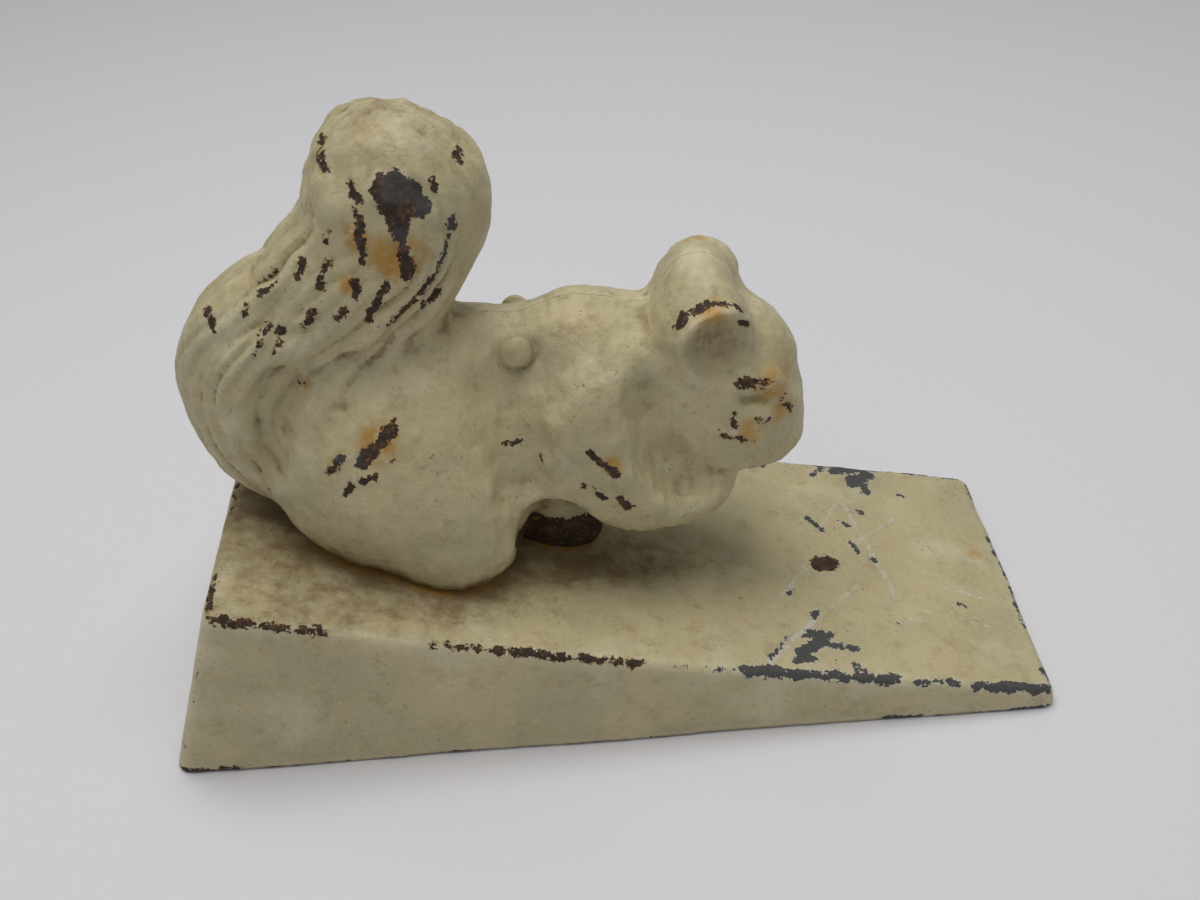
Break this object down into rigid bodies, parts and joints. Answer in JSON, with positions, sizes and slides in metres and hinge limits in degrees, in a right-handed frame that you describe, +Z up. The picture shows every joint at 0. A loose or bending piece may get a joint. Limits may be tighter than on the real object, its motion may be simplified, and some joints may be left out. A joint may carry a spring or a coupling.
{
  "type": "doorstop",
  "caption": "Heavy cast door wedge with a crouching squirrel screwed on top, made of hollow half castings joined by a rivet.",
  "frame": {"origin": "on the floor, under the middle of the wedge's footprint", "axes": "+X from the thick rear end to the thin edge, the way the squirrel faces; +Y across, to the squirrel's left; +Z up"},
  "size_m": [0.2, 0.083, 0.1366],
  "materials": {
    "painted_wedge": "old cream paint, chipped to dark iron along its edges, with grey scuffs and brown grime",
    "painted_casting": "old cream paint, satin, with dark chips, rust stains and grime in the hollows",
    "painted_rivet": "old cream paint, satin",
    "steel_fastener": "dull steel, lightly rusted"
  },
  "bodies": {
    "root": {"wedge_base": "painted_wedge", "squirrel_right_half": "painted_casting", "squirrel_left_half": "painted_casting", "flank_rivet": "painted_rivet", "base_screw_right": "steel_fastener", "base_screw_left": "steel_fastener", "base_washer_right": "steel_fastener", "base_washer_left": "steel_fastener"}
  },
  "joints": []
}
